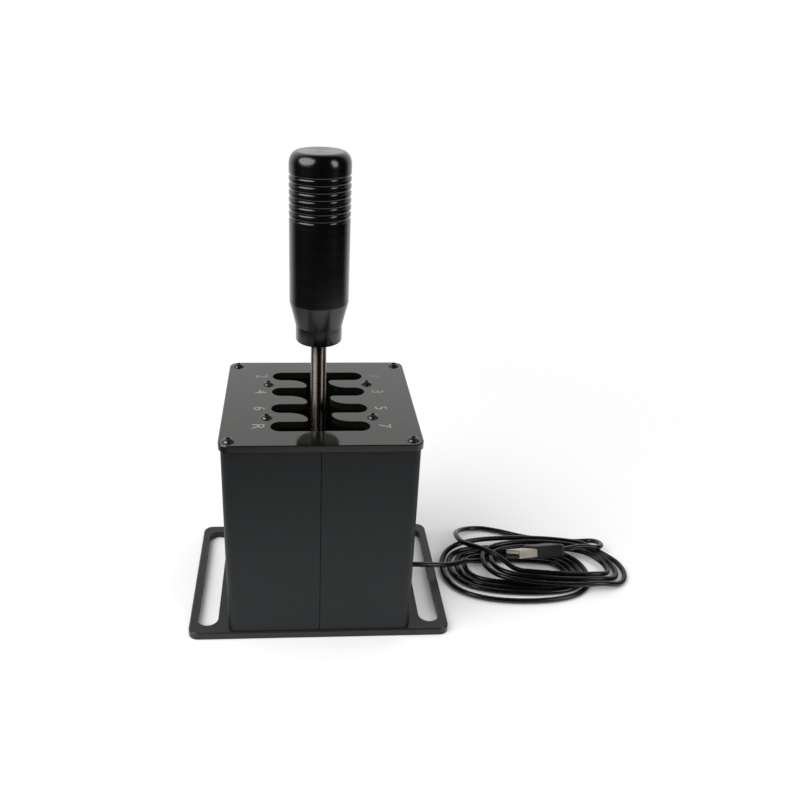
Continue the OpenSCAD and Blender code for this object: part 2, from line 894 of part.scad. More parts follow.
module carriage_bushes() {
    color("#b08a4a")
        for (s = [-1, 1])
            translate([0, row_y, pivot_z])
                rotate([-90 * s, 0, 0])
                    difference() {
                        union() {
                            translate([0, 0, cheek_y])
                                cylinder(r = bush_r, h = cheek_t);
                            translate([0, 0, carriage_y])
                                cylinder(r = flange_r, h = flange_t);
                        }
                        cylinder(r = shaft_r + run_gap, h = flange_y + CUT);
                    }
}

// A strip that lies on the bridge, rises to the sector and is rolled into a bump that drops into a groove
module detent_leaf() {
    bump_z = pivot_z - detent_at;
    start = leaf_fixed - leaf_x;
    inner = leaf_bump_r - leaf_t;
    free_end = 5;
    overlap = 0.1;
    color("#a9adb0")
        translate([0, row_y, 0])
            difference() {
                upright(leaf_w)
                    union() {
                        translate([-leaf_x, bridge_top])
                            square([leaf_fixed + overlap, leaf_t]);
                        polygon([
                            [start, bridge_top],
                            [-inner, bump_z - leaf_t],
                            [-inner, bump_z],
                            [-leaf_bump_r, bump_z],
                            [start, bridge_top + leaf_t]
                        ]);
                        difference() {
                            translate([0, bump_z])
                                circle(leaf_bump_r);
                            translate([0, bump_z])
                                circle(inner);
                            translate([-2 * leaf_bump_r, bump_z - overlap - 2 * leaf_bump_r])
                                square([4 * leaf_bump_r, 2 * leaf_bump_r]);
                        }
                        polygon([
                            [inner, bump_z],
                            [leaf_bump_r, bump_z],
                            [free_end, bump_z - leaf_t],
                            [free_end, bump_z - 2 * leaf_t],
                            [inner, bump_z - leaf_t]
                        ]);
                    }
                for (s = [-1, 1])
                    translate([leaf_fixed / 2 - leaf_x, s * leaf_screw_y, bridge_top - CUT])
                        cylinder(r = small_r + THREAD_GAP, h = leaf_t + 2 * CUT);
            }
}

module leaf_screws() {
    color("#111213")
        for (s = [-1, 1])
            translate([leaf_fixed / 2 - leaf_x, row_y + s * leaf_screw_y, bridge_top + leaf_t])
                button_screw(small_r, leaf_screw_len, small_head_r, small_head_h, socket_af * 0.75, small_head_h / 2);
}

// Lever

module hub_outline() {
    reach = 2 * sector_r;
    circle(hub_r);
    difference() {
        intersection() {
            circle(sector_r);
            polygon([
                [0, 0],
                [-reach * sin(sector_angle), -reach * cos(sector_angle)],
                [reach * sin(sector_angle), -reach * cos(sector_angle)]
            ]);
        }
        for (a = [-tilt, 0, tilt])
            translate([detent_at * sin(a), -detent_at * cos(a)])
                circle(detent_r);
    }
    translate([0, -magnet_r - 1])
        square([arm_reach, 2 * magnet_r + 2]);
    translate([-socket_r, 0])
        square([2 * socket_r, hub_r + rod_web]);
}

module lever_hub() {
    color("#7d8184")
        translate([0, row_y, pivot_z])
            difference() {
                union() {
                    upright(hub_w)
                        hub_outline();
                    translate([0, 0, hub_r + rod_web - 0.2])
                        cylinder(r = socket_r, h = socket_h + 0.2);
                }
                bar_y(bush_r + seat_gap, 2 * hub_w);
                translate([0, 0, hub_r + rod_web])
                    cylinder(r = rod_r + seat_gap, h = socket_h + CUT);
                translate([magnet_x, 0, 0])
                    bar_x(magnet_r + seat_gap, magnet_len);
            }
}

module hub_bush() {
    color("#b08a4a")
        translate([0, row_y, pivot_z])
            difference() {
                bar_y(bush_r, hub_w);
                bar_y(shaft_r + run_gap, hub_w + CUT);
            }
}

module magnet() {
    color("#c9ccce")
        translate([magnet_x, row_y, pivot_z])
            bar_x(magnet_r, magnet_len);
}

module lever_rod() {
    color("#d4d6d8")
        translate([0, row_y, rod_z])
            cylinder(r = rod_r, h = rod_top - rod_z);
}

module lock_nut() {
    color("#c3c6c8")
        translate([0, row_y, socket_top])
            difference() {
                hexagon(nut_af, nut_h);
                translate([0, 0, -CUT])
                    cylinder(r = rod_r + seat_gap, h = nut_h + 2 * CUT);
            }
}

// Half of the knob's section, from its foot at z = 0
module knob_section() {
    steps = 16;
    taper_top = collar_h + taper_h;
    shoulder_z = knob_len - shoulder_h;
    difference() {
        polygon([
            [0, 0],
            [collar_r - collar_chamfer, 0],
            [collar_r, collar_chamfer],
            [collar_r, collar_h],
            [knob_r, taper_top],
            for (k = [0:steps])
                let (a = 90 * k / steps)
                [
                    knob_flat_r + (knob_r - knob_flat_r) * cos(a),
                    shoulder_z + shoulder_h * sin(a)
                ],
            [0, knob_len]
        ]);
        for (i = [0:groove_count - 1])
            translate([knob_r + groove_r - groove_depth, knob_len - groove_start - i * groove_pitch])
                circle(groove_r);
    }
}

module gear_knob() {
    color("#0e0f10")
        translate([0, row_y, knob_z])
            difference() {
                rotate_extrude()
                    knob_section();
                translate([0, 0, -CUT])
                    cylinder(r = rod_r + seat_gap, h = rod_grip + CUT);
            }
}

// Circuit board

module sensor_board() {
    color("#1f5b3a")
        difference() {
            translate([board_x, -board_y, pivot_z - board_z])
                cube([board_t, 2 * board_y, 2 * board_z]);
            for (sy = [-1, 1], sz = [-1, 1])
                translate([board_x - CUT, sy * board_screw_y, pivot_z + sz * board_screw_z])
                    bar_x(small_r + THREAD_GAP, board_t + 2 * CUT);
        }
}

module hall_sensors() {
    color("#151617")
        for (y = rows, s = [-1, 1])
            translate([sensor_x, y - sensor_w / 2, pivot_z + s * sensor_z - sensor_w / 2])
                cube([sensor_t, sensor_w, sensor_w]);
}

module controller_chip() {
    color("#151617")
        translate([board_back, chip_y - chip_w / 2, pivot_z - chip_w / 2])
            cube([chip_t, chip_w, chip_w]);
}

module board_connector() {
    color("#d8d4c6")
        translate([board_back, connector_y - connector_w / 2, connector_z - connector_h / 2])
            cube([connector_t, connector_w, connector_h]);
}

module board_spacers() {
    color("#b9a04c")
        for (sy = [-1, 1], sz = [-1, 1])
            translate([board_back, sy * board_screw_y, pivot_z + sz * board_screw_z])
                difference() {
                    bar_x(spacer_r, spacer_len);
                    translate([-CUT, 0, 0])
                        bar_x(small_r + THREAD_GAP, spacer_len + 2 * CUT);
                }
}

module board_screws() {
    color("#111213")
        for (sy = [-1, 1], sz = [-1, 1])
            translate([board_x, sy * board_screw_y, pivot_z + sz * board_screw_z])
                rotate([0, -90, 0])
                    button_screw(small_r, board_screw_len, small_head_r, small_head_h, socket_af * 0.75, small_head_h / 2);
}

// Cable

module cable_grommet() {
    flange = grommet_r + grommet_flange;
    color("#141516")
        translate([inner_x, outlet_y, outlet_z])
            difference() {
                union() {
                    bar_x(grommet_r, wall);
                    for (x = [-grommet_flange_t, wall])
                        translate([x, 0, 0])
                            bar_x(flange, grommet_flange_t);
                }
                translate([-2 * grommet_flange_t, 0, 0])
                    bar_x(grommet_bore, wall + 4 * grommet_flange_t);
            }
}

module cord(path, first_aim, last_aim) {
    color("#121314")
        tube(path, cable_r, 8, [0, 0, 1], first_aim, last_aim);
}

module inner_lead() {
    cord(smooth_curve(INNER_ROUTE, 2), [-1, 0, 0], [-1, 0, 0]);
}

// A share that goes smoothly from 0 to 1 between the two limits
function ease(v, limits) =
    let (u = max(0, min(1, (v - limits[0]) / (limits[1] - limits[0]))))
    u * u * (3 - 2 * u);

// One of the sizes of the loops, so many turns from their start
function loop_size(t, which) =
    let (
        share = ease(t, LOOP_CHANGE),
        floor_size = FLOOR_LOOPS[which][0] + FLOOR_LOOPS[which][1] * t,
        upper_size = UPPER_LOOPS[which][0] + UPPER_LOOPS[which][1] * (t - LOOP_TURNS)
    )
    floor_size * (1 - share) + upper_size * share;

function loop_point(t) =
    let (
        a = LOOP_START - 360 * t,
        end = (cos(a) - LOOP_ROUND * cos(3 * a)) / (1 - LOOP_ROUND),
        x = loop_size(t, 2) + loop_size(t, 0) * end,
        back_sag = BACK_SAG * (1 - ease(t, LOOP_CHANGE)),
        sag = FRONT_SAG * pow(max(-sin(a), 0), 3) - back_sag * pow(max(sin(a), 0), 3),
        swing = SWING * (ease(t, SWING_OUT) - ease(t, SWING_BACK)),
        y = loop_size(t, 3) + loop_size(t, 1) * sin(a) + sag - LOOP_LEAN * cos(a) - swing,
        lift = ease(t, LOOP_CLIMB) * (1 - ease(x, LOOP_FALL))
    )
    [x, y, cable_r + LAYER_STEP * lift];

// The loops with so many points a turn
function loops(rings) = [for (i = [0:round(LOOP_TURNS * rings)]) loop_point(i / rings)];

loop_step = 0.002;
first_aim = unit(loop_point(loop_step) - loop_point(0));
last_aim = unit(loop_point(LOOP_TURNS) - loop_point(LOOP_TURNS - loop_step));
hank_start = loop_point(0) - cable_d * first_aim;
hank_end = loop_point(LOOP_TURNS) + cable_d * last_aim;

module cable_lead() {
    cord(smooth_curve(concat(LEAD_ROUTE, [hank_start]), 2), [1, 0, 0], first_aim);
}

module cable_hank() {
    fine = loops(4 * LOOP_RINGS);
    echo("loops: least gap", least_distance(fine, 2 * LOOP_RINGS) - cable_d);
    path = concat([hank_start], loops(LOOP_RINGS), [hank_end]);
    color("#121314")
        tube(path, cable_r, 6, [0, 0, 1], first_aim, last_aim);
}

module cable_tail() {
    approach = [PLUG_REAR - 2 * cable_d * plug_aim, PLUG_REAR];
    route = concat([hank_end, hank_end + cable_d * last_aim], TAIL_ROUTE, approach);
    cord(smooth_curve(route, 2), last_aim, plug_aim);
}

// Plug

// The plug's own frame: X from the rear of the grip to the nose, Y across, Z through the flat
module plug_place() {
    translate(PLUG_REAR)
        rotate([0, 0, 180 + PLUG_TURN])
            rotate([0, -PLUG_NOSE_UP, 0])
                rotate([PLUG_ROLL, 0, 0])
                    children();
}

// A block from x = 0 with rounded long edges
module rounded_bar(len, w, h, r) {
    rotate([90, 0, 90])
        linear_extrude(len)
            rounded_rect(w, h, r, $fn = HULL_FN);
}

module plug_overmould() {
    rear_w = grip_w * 0.6;
    rear_h = grip_h * 0.8;
    slice = 0.5;
    color("#1b1c1e")
        plug_place()
            difference() {
                hull() {
                    rounded_bar(slice, rear_w, rear_h, grip_r);
                    translate([grip_taper, 0, 0])
                        rounded_bar(grip_len, grip_w, grip_h, grip_r);
                }
                translate([grip_taper + grip_len - plug_seat, -plug_w / 2 - seat_gap, -plug_h / 2 - seat_gap])
                    cube([plug_seat + CUT, plug_w + 2 * seat_gap, plug_h + 2 * seat_gap]);
            }
}

// Runs from the bottom of its seat in the grip to the nose
module plug_shell() {
    total = plug_seat + plug_len;
    window_w = 2.2;
    window_x = total - 6.5;
    window_y = 2.75;
    color("#b9b3a6")
        plug_place()
            translate([grip_taper + grip_len - plug_seat, 0, 0])
                difference() {
                    translate([0, -plug_w / 2, -plug_h / 2])
                        cube([total, plug_w, plug_h]);
                    translate([plug_sheet, plug_sheet - plug_w / 2, plug_sheet - plug_h / 2])
                        cube([total, plug_w - 2 * plug_sheet, plug_h - 2 * plug_sheet]);
                    for (s = [-1, 1])
                        translate([window_x, s * window_y - window_w / 2, -plug_h])
                            cube([window_w, window_w, 2 * plug_h]);
                }
}

tongue_t = 1.8;
tongue_inset = 0.6;
contact_t = 0.15;
contact_w = 1;

// Lies along the upper face inside the shell
module plug_tongue() {
    tongue_w = plug_w - 2 * plug_sheet - 2 * seat_gap;
    tongue_len = plug_seat + plug_len - plug_sheet - tongue_inset;
    color("#cfc9ba")
        plug_place()
            translate([
                grip_taper + grip_len - plug_seat + plug_sheet,
                -tongue_w / 2,
                plug_h / 2 - plug_sheet - seat_gap - tongue_t
            ])
                cube([tongue_len, tongue_w, tongue_t]);
}

module plug_contacts() {
    contact_len = plug_len - 3;
    color("#c8a24a")
        plug_place()
            for (y = [-3.5, -1, 1, 3.5])
                translate([
                    grip_taper + grip_len + 1,
                    y - contact_w / 2,
                    plug_h / 2 - plug_sheet - seat_gap - tongue_t - contact_t
                ])
                    cube([contact_len, contact_w, contact_t]);
}

base_plate();
left_shell();
right_shell();
cover_plate();
cover_screws();
gate_screws();
base_screws();
pillars();
mechanism_frame();
frame_screws();
cross_shaft();
guide_rods();
front_spring();
back_spring();
carriage();
carriage_bushes();
detent_leaf();
leaf_screws();
lever_hub();
hub_bush();
magnet();
lever_rod();
lock_nut();
gear_knob();
sensor_board();
hall_sensors();
controller_chip();
board_connector();
board_spacers();
board_screws();
cable_grommet();
inner_lead();
cable_lead();
cable_hank();
cable_tail();
plug_overmould();
plug_shell();
plug_tongue();
plug_contacts();
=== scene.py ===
"""Looks of a gear shifter for driving games, dressed round its packed construction model.

Lengths are in millimetres and turned to metres where Blender takes them. Only the studio is written in metres.
The origin is the middle of the base plate's underside, with +X to the right, +Y to the back and +Z up.
"""

import math

import bmesh
import bpy
from mathutils import Matrix, Vector


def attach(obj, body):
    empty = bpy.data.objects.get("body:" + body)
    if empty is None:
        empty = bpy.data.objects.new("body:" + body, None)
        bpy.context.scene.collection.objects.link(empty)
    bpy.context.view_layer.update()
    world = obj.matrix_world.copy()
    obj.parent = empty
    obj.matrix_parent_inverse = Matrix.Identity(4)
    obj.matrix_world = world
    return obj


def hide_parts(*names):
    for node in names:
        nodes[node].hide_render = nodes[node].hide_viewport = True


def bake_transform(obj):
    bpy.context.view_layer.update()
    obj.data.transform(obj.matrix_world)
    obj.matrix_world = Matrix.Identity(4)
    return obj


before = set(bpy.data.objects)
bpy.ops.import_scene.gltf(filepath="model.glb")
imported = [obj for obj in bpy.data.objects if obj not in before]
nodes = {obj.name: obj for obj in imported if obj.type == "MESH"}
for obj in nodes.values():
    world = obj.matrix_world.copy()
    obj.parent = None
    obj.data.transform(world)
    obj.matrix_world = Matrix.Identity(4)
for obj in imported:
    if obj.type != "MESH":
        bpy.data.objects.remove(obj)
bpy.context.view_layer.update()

MM = 0.001

# Camera, fitted to the edges of the cover, the housing and the base plate.
PHOTO_SIZE = 800
SENSOR_WIDTH = 36.0
CAMERA_PLACE = (-12.592, -386.83, 304.21)
CAMERA_FOCUS_PX = 834.043
CAMERA_MIDDLE_PX = (344.071, 404.041)
CAMERA_PITCH = math.radians(26.316)
CAMERA_YAW = math.radians(3.804)
CAMERA_ROLL = math.radians(1.407)
CAMERA_REACH = (10, 20000)


def place_camera():
    """The camera at the photograph's viewing angle."""
    pitch, yaw, roll = CAMERA_PITCH, CAMERA_YAW, CAMERA_ROLL
    ahead = Vector((math.sin(yaw) * math.cos(pitch), math.cos(yaw) * math.cos(pitch), -math.sin(pitch)))
    level = Vector((math.cos(yaw), -math.sin(yaw), 0))
    above = level.cross(ahead)
    right = level * math.cos(roll) + above * math.sin(roll)
    up = above * math.cos(roll) - level * math.sin(roll)
    data = bpy.data.cameras.new("camera")
    data.sensor_width = SENSOR_WIDTH
    data.lens = CAMERA_FOCUS_PX / PHOTO_SIZE * SENSOR_WIDTH
    data.shift_x = 0.5 - CAMERA_MIDDLE_PX[0] / PHOTO_SIZE
    data.shift_y = CAMERA_MIDDLE_PX[1] / PHOTO_SIZE - 0.5
    data.clip_start, data.clip_end = [reach * MM for reach in CAMERA_REACH]
    camera = bpy.data.objects.new("camera", data)
    bpy.context.collection.objects.link(camera)
    turn = Matrix((right, up, -ahead)).transposed().to_4x4()
    camera.matrix_world = Matrix.Translation(Vector(CAMERA_PLACE) * MM) @ turn
    bpy.context.scene.camera = camera


# Cable route, as in the part's source.
CABLE_D = 3.0
OUTLET = (47.5, -5.0, 13.0)
LEAD_ROUTE = [
    OUTLET, (54, -5, 13), (64, -4, 11.8), (74, -1.2, 9.4), (82, 3.6, 6.9), (87.8, 7.6, 5.1),
    (92.6, 10.3, 3.1), (97.2, 12.1, 1.75), (102.5, 13.1, 1.5)]
TAIL_ROUTE = [
    (115.7, -1.7, 5.8), (112.2, -0.2, 7.3), (108.4, 2.2, 9.5), (104, 5.4, 11.1), (98.6, 9.8, 11.8),
    (92, 14.8, 11.2), (87, 21, 9.8), (85.6, 30.5, 8), (89, 39, 4.6), (96, 44.5, 2.2), (105, 45.5, 1.6),
    (116, 42, 1.6), (127, 37, 1.6), (139, 33, 1.6), (151, 31, 1.6), (159.5, 30.3, 1.6), (166, 30.1, 1.9),
    (169.8, 29.1, 2.7), (172.5, 26.4, 3.9), (173.5, 22.6, 5.2), (172.5, 18.8, 6.5), (169.9, 16, 7.5),
    (166, 14.9, 8.3), (161, 14.9, 8.9), (156, 14.4, 9.1)]
INNER_ROUTE = [
    OUTLET, (43.6, -5, 13), (40.6, -5, 13), (37, -9, 15.5), (35.5, -17, 22), (35, -24, 30),
    (31.5, -29, 35), (28.5, -30, 36), (25.5, -30, 36)]
ROUTE_STEPS = 8
CORD_ROUND_STEPS = 5

# Loops of the hank: how many there are and where they start, how round and how slanted they lie, where they climb
# to the upper layer, how far their long sides sag, and how far the widest one swings out.
TURNS = 6.6
TURN_POINTS = 72
START_ANGLE = 105.0
ROUNDNESS = 0.04
LEAN = 3.5
LAYER_CHANGE = (3.8, 4.25)
LAYER_CLIMB = (3.74, 3.94)
LAYER_STEP = 3.7
LAYER_DROP = (160, 178)
FRONT_SAG, BACK_SAG = 3.0, 4.5
SWING = 3.5
SWING_OUT, SWING_BACK = (3.3, 3.62), (3.66, 4.0)
# Half length, half width and middle: of the floor layer at the first turn and of the upper one at the last turn,
# each with its growth per turn.
FLOOR_SIZES = [(26.5, 4.4), (13.4, 4.2), (117.5, -0.2), (3.4, 0)]
UPPER_SIZES = [(31, -5), (12.8, -4.9), (138, 0), (4.6, 0)]

# Plug: its rear end, how it is turned, and its sizes from rear to nose.
PLUG_REAR = Vector((144.2, 10.2, 10.6))
PLUG_TURN, PLUG_NOSE_UP, PLUG_ROLL = 22.0, 11.0, 30.0
GRIP_TAPER, GRIP_LEN = 4.0, 18.5
GRIP_SIZE = (14.0, 7.5)
GRIP_REAR_SHARE = (0.6, 0.8)
GRIP_ROUND, GRIP_ROUND_STEPS = 1.3, 4


def plug_place():
    """Where the plug lies, from its own axes, with +X from its rear to its nose."""
    turn = Matrix.Rotation(math.radians(180 + PLUG_TURN), 4, "Z")
    tip = Matrix.Rotation(math.radians(-PLUG_NOSE_UP), 4, "Y")
    roll = Matrix.Rotation(math.radians(PLUG_ROLL), 4, "X")
    return Matrix.Translation(PLUG_REAR) @ turn @ tip @ roll


def ease(value, limits):
    """From 0 at the first limit to 1 at the second, with a smooth start and end."""
    share = min(max((value - limits[0]) / (limits[1] - limits[0]), 0.0), 1.0)
    return share * share * (3 - 2 * share)


def loop_point(turn):
    """A point of the hank after that many turns."""
    upper = ease(turn, LAYER_CHANGE)
    low = [first + growth * turn for first, growth in FLOOR_SIZES]
    high = [last + growth * (turn - TURNS) for last, growth in UPPER_SIZES]
    length, width, mid_x, mid_y = [a * (1 - upper) + b * upper for a, b in zip(low, high)]
    angle = math.radians(START_ANGLE - 360 * turn)
    end = (math.cos(angle) - ROUNDNESS * math.cos(3 * angle)) / (1 - ROUNDNESS)
    x = mid_x + length * end
    front, back = max(-math.sin(angle), 0.0), max(math.sin(angle), 0.0)
    sag = FRONT_SAG * front ** 3 - BACK_SAG * (1 - upper) * back ** 3
    swing = SWING * (ease(turn, SWING_OUT) - ease(turn, SWING_BACK))
    y = mid_y + width * math.sin(angle) + sag - LEAN * math.cos(angle) - swing
    z = CABLE_D / 2 + LAYER_STEP * ease(turn, LAYER_CLIMB) * (1 - ease(x, LAYER_DROP))
    return Vector((x, y, z))


def smooth_route(route):
    """Points of one smooth line through the route's points."""
    stops = [Vector(p) for p in route]
    stops = [2 * stops[0] - stops[1]] + stops + [2 * stops[-1] - stops[-2]]
    line = []
    for before, start, end, after in zip(stops, stops[1:], stops[2:], stops[3:]):
        for step in range(ROUTE_STEPS):
            t = step / ROUTE_STEPS
            bend = (2 * before - 5 * start + 4 * end - after) * t ** 2
            swing = (3 * start - before - 3 * end + after) * t ** 3
            line.append((2 * start + (end - before) * t + bend + swing) / 2)
    return line + [stops[-2]]


def cable_line():
    """The whole cable's centre line, from the housing through the hank to the plug."""
    count = round(TURNS * TURN_POINTS)
    loops = [loop_point(TURNS * i / count) for i in range(count + 1)]
    first_aim = (loops[1] - loops[0]).normalized()
    last_aim = (loops[-1] - loops[-2]).normalized()
    plug_aim = plug_place().to_3x3() @ Vector((1, 0, 0))
    hank_start = loops[0] - CABLE_D * first_aim
    hank_end = loops[-1] + CABLE_D * last_aim
    lead = smooth_route(LEAD_ROUTE + [hank_start])
    approach = [PLUG_REAR - 2 * CABLE_D * plug_aim, PLUG_REAR]
    tail = smooth_route([hank_end, hank_end + CABLE_D * last_aim] + TAIL_ROUTE + approach)
    return lead + loops + tail


def tube_along(name, line, diameter):
    """A round cord along the line, as a curve of one spline."""
    curve = bpy.data.curves.new(name, "CURVE")
    curve.dimensions = "3D"
    curve.bevel_depth = diameter / 2 * MM
    curve.bevel_resolution = CORD_ROUND_STEPS
    curve.use_fill_caps = True
    spline = curve.splines.new("POLY")
    spline.points.add(len(line) - 1)
    for knot, place in zip(spline.points, line):
        knot.co = (*(place * MM), 1.0)
    cord = bpy.data.objects.new(name, curve)
    bpy.context.collection.objects.link(cord)
    return cord


place_camera()
usb_cable = tube_along("usb_cable", cable_line(), CABLE_D)
inner_cable = tube_along("inner_cable", smooth_route(INNER_ROUTE), CABLE_D)


# Finishes. Each has one cloudy grain, and the middle stretch of the cloud takes it from one end to the other.
GRAIN_DETAIL, GRAIN_ROUGHNESS = 3.0, 0.55
TINT_STRETCH = (0.35, 0.65)
GLOSS_STRETCH = (0.3, 0.7)


def linear(code):
    """Linear colour of an sRGB hex value."""
    parts = [int(code[i:i + 2], 16) / 255 for i in (1, 3, 5)]
    return tuple(c / 12.92 if c <= 0.04045 else ((c + 0.055) / 1.055) ** 2.4 for c in parts) + (1.0,)


def add(tree, kind, settings=None, sockets=None):
    """A node with its settings. A socket takes a value, or another node's output as a link."""
    node = tree.nodes.new(kind)
    for name, value in (settings or {}).items():
        setattr(node, name, value)
    for name, value in (sockets or {}).items():
        if isinstance(value, bpy.types.NodeSocket):
            tree.links.new(value, node.inputs[name])
        else:
            node.inputs[name].default_value = value
    return node


def surface(name, colours, gloss, grain, relief, stretch=(1, 1, 1), sockets=None):
    """A finish with one grain of that size in millimetres, which moves colour, roughness and relief together.

    colours and gloss give the two ends of the grain, relief its height in millimetres, and stretch how far the
    grain is squeezed along each axis.
    """
    material = bpy.data.materials.new(name)
    material.use_nodes = True
    tree = material.node_tree
    tree.nodes.clear()
    place = add(tree, "ShaderNodeTexCoord").outputs["Object"]
    squeezed = add(tree, "ShaderNodeMapping", None, {"Vector": place, "Scale": stretch}).outputs["Vector"]
    noise = {
        "Vector": squeezed, "Scale": 1 / (grain * MM), "Detail": GRAIN_DETAIL, "Roughness": GRAIN_ROUGHNESS}
    cloud = add(tree, "ShaderNodeTexNoise", None, noise).outputs["Fac"]
    tint = add(tree, "ShaderNodeValToRGB", None, {"Fac": cloud})
    for stop, spot, code in zip(tint.color_ramp.elements, TINT_STRETCH, colours):
        stop.position = spot
        stop.color = linear(code)
    polish = {
        "Value": cloud, "From Min": GLOSS_STRETCH[0], "From Max": GLOSS_STRETCH[1],
        "To Min": gloss[0], "To Max": gloss[1]}
    rough = add(tree, "ShaderNodeMapRange", None, polish).outputs["Result"]
    lumps = add(tree, "ShaderNodeBump", None, {"Height": cloud, "Distance": relief * MM}).outputs["Normal"]
    face = {"Base Color": tint.outputs["Color"], "Roughness": rough, "Normal": lumps}
    shader = add(tree, "ShaderNodeBsdfPrincipled", None, {**face, **(sockets or {})})
    add(tree, "ShaderNodeOutputMaterial", None, {"Surface": shader.outputs["BSDF"]})
    return material


# Powder coat on the steel base plate: a dull charcoal skin with a fine orange peel.
powder_coat = surface(
    "powder_coated_steel", ("#1a1b1b", "#202121"), gloss=(0.3, 0.4), grain=0.9, relief=0.012,
    sockets={"Specular IOR Level": 0.35})
# Moulded ABS of the half shells: a slightly blue black with an even satin skin from the mould's spark grain.
moulded_abs = surface(
    "moulded_satin_abs", ("#151819", "#191d1e"), gloss=(0.42, 0.5), grain=0.7, relief=0.008,
    sockets={"Specular IOR Level": 0.25})
# Cast acrylic gate plate: black, polished on its face, so that it mirrors the white behind it.
gloss_acrylic = surface(
    "polished_black_acrylic", ("#11110d", "#151511"), gloss=(0.05, 0.08), grain=6.0, relief=0.0005,
    sockets={"IOR": 1.62})
# Black oxide on hardened screws: nearly black with a tight oily shine.
black_oxide = surface(
    "black_oxide_steel", ("#0a0a0a", "#101010"), gloss=(0.22, 0.3), grain=0.8, relief=0.002,
    sockets={"IOR": 2.0})
# Ground and polished steel rod: fine rings round it draw each light out along it, on a slightly warm tone.
polished_steel = surface(
    "polished_steel_rod", ("#a9a096", "#b4aba1"), gloss=(0.34, 0.4), grain=2.5, relief=0.0002,
    stretch=(0.15, 0.15, 3), sockets={"Metallic": 1.0, "Anisotropic": 1.0, "Anisotropic Rotation": 0.25})
# Folded and zinc plated sheet: pale grey with a soft rolled grain.
sheet_steel = surface(
    "zinc_plated_sheet", ("#8d9092", "#a9acad"), gloss=(0.34, 0.46), grain=1.2, relief=0.004,
    stretch=(1, 0.12, 1), sockets={"Metallic": 1.0})
# Drawn spring wire and strip: darker steel, finely mottled from the drawing.
spring_steel = surface(
    "drawn_spring_wire", ("#7d7b78", "#9a9894"), gloss=(0.25, 0.36), grain=0.5, relief=0.002,
    sockets={"Metallic": 1.0})
# Black anodised aluminium, turned: deep black, with fine rings that draw its lights out along it.
black_anodised = surface(
    "black_anodised_aluminium", ("#040404", "#080808"), gloss=(0.17, 0.23), grain=1.4, relief=0.0008,
    stretch=(0.04, 0.04, 1), sockets={"IOR": 1.66, "Anisotropic": 0.6, "Anisotropic Rotation": 0.25})
# Milled aluminium of the carriage and hub: bright with cutter marks across it.
milled_aluminium = surface(
    "milled_aluminium", ("#b4b6b8", "#cfd0d1"), gloss=(0.28, 0.4), grain=0.9, relief=0.003,
    stretch=(1, 0.2, 1), sockets={"Metallic": 1.0})
# Oil filled bronze bushes: brown gold with a porous skin.
bronze = surface(
    "sintered_bronze", ("#8a6a3c", "#a07d48"), gloss=(0.36, 0.5), grain=0.4, relief=0.01,
    sockets={"Metallic": 1.0})
# Turned brass: yellow with fine rings.
brass = surface(
    "turned_brass", ("#b08d46", "#c9a557"), gloss=(0.2, 0.32), grain=0.6, relief=0.003,
    stretch=(0.2, 0.2, 1), sockets={"Metallic": 1.0})
# Nickel plated plug shell: warm bright metal, dulled by being plugged in.
nickel = surface(
    "nickel_plated_shell", ("#c2b9ab", "#d2cabd"), gloss=(0.4, 0.5), grain=3.0, relief=0.0006,
    sockets={"Metallic": 1.0})
# Solder mask on the circuit board: green lacquer over copper tracks.
board_green = surface("green_solder_mask", ("#0d3a22", "#17512f"), gloss=(0.25, 0.34), grain=1.8, relief=0.012)
# Epoxy chip bodies: matt black with a fine moulded grain.
chip_black = surface("epoxy_chip_body", ("#161617", "#202021"), gloss=(0.5, 0.62), grain=0.3, relief=0.005)
# Nylon connector body: ivory and slightly waxy.
connector_ivory = surface("moulded_nylon", ("#cfc6ae", "#dcd5c0"), gloss=(0.4, 0.5), grain=1.2, relief=0.004)
# Rubber grommet: dull black with a dusty bloom.
grommet_rubber = surface("moulded_rubber", ("#151515", "#1f1f1f"), gloss=(0.6, 0.75), grain=0.8, relief=0.01)
# PVC cable jacket: black, extruded, so smooth and shiny with faint waves.
cable_pvc = surface("extruded_pvc_jacket", ("#040405", "#080809"), gloss=(0.2, 0.28), grain=3.0, relief=0.002)
# Overmoulded plug grip: black PVC with a fine grain.
plug_black = surface(
    "moulded_pvc_grip", ("#08090a", "#0d0e0f"), gloss=(0.42, 0.55), grain=0.8, relief=0.006,
    sockets={"Specular IOR Level": 0.35})
# Plug tongue: pale grey glass filled plastic.
tongue_grey = surface("glass_filled_tongue", ("#b9b6ae", "#c8c5be"), gloss=(0.4, 0.5), grain=0.6, relief=0.004)
# Paint wiped into the engraved gear numbers: dull beige, a little uneven.
number_paint = surface(
    "wiped_in_number_paint", ("#8f897d", "#a19a8c"), gloss=(0.55, 0.7), grain=1.1, relief=0.01)

NODE_FINISHES = {
    powder_coat: ["base_plate"],
    moulded_abs: ["left_shell", "right_shell"],
    gloss_acrylic: ["cover_plate"],
    black_oxide: [
        "cover_screws", "gate_screws", "base_screws", "frame_screws", "leaf_screws", "board_screws"],
    polished_steel: ["cross_shaft", "guide_rods", "magnet"],
    sheet_steel: ["mechanism_frame", "lock_nut"],
    spring_steel: ["detent_leaf"],
    milled_aluminium: ["carriage", "lever_hub"],
    bronze: ["carriage_bushes", "hub_bush"],
    brass: ["pillars", "board_spacers", "plug_contacts"],
    nickel: ["plug_shell"],
    board_green: ["sensor_board"],
    chip_black: ["hall_sensors", "controller_chip"],
    connector_ivory: ["board_connector"],
    grommet_rubber: ["cable_grommet"],
    tongue_grey: ["plug_tongue"],
}
for finish, names in NODE_FINISHES.items():
    for name in names:
        for part in nodes[name].material_slots:
            part.material = finish


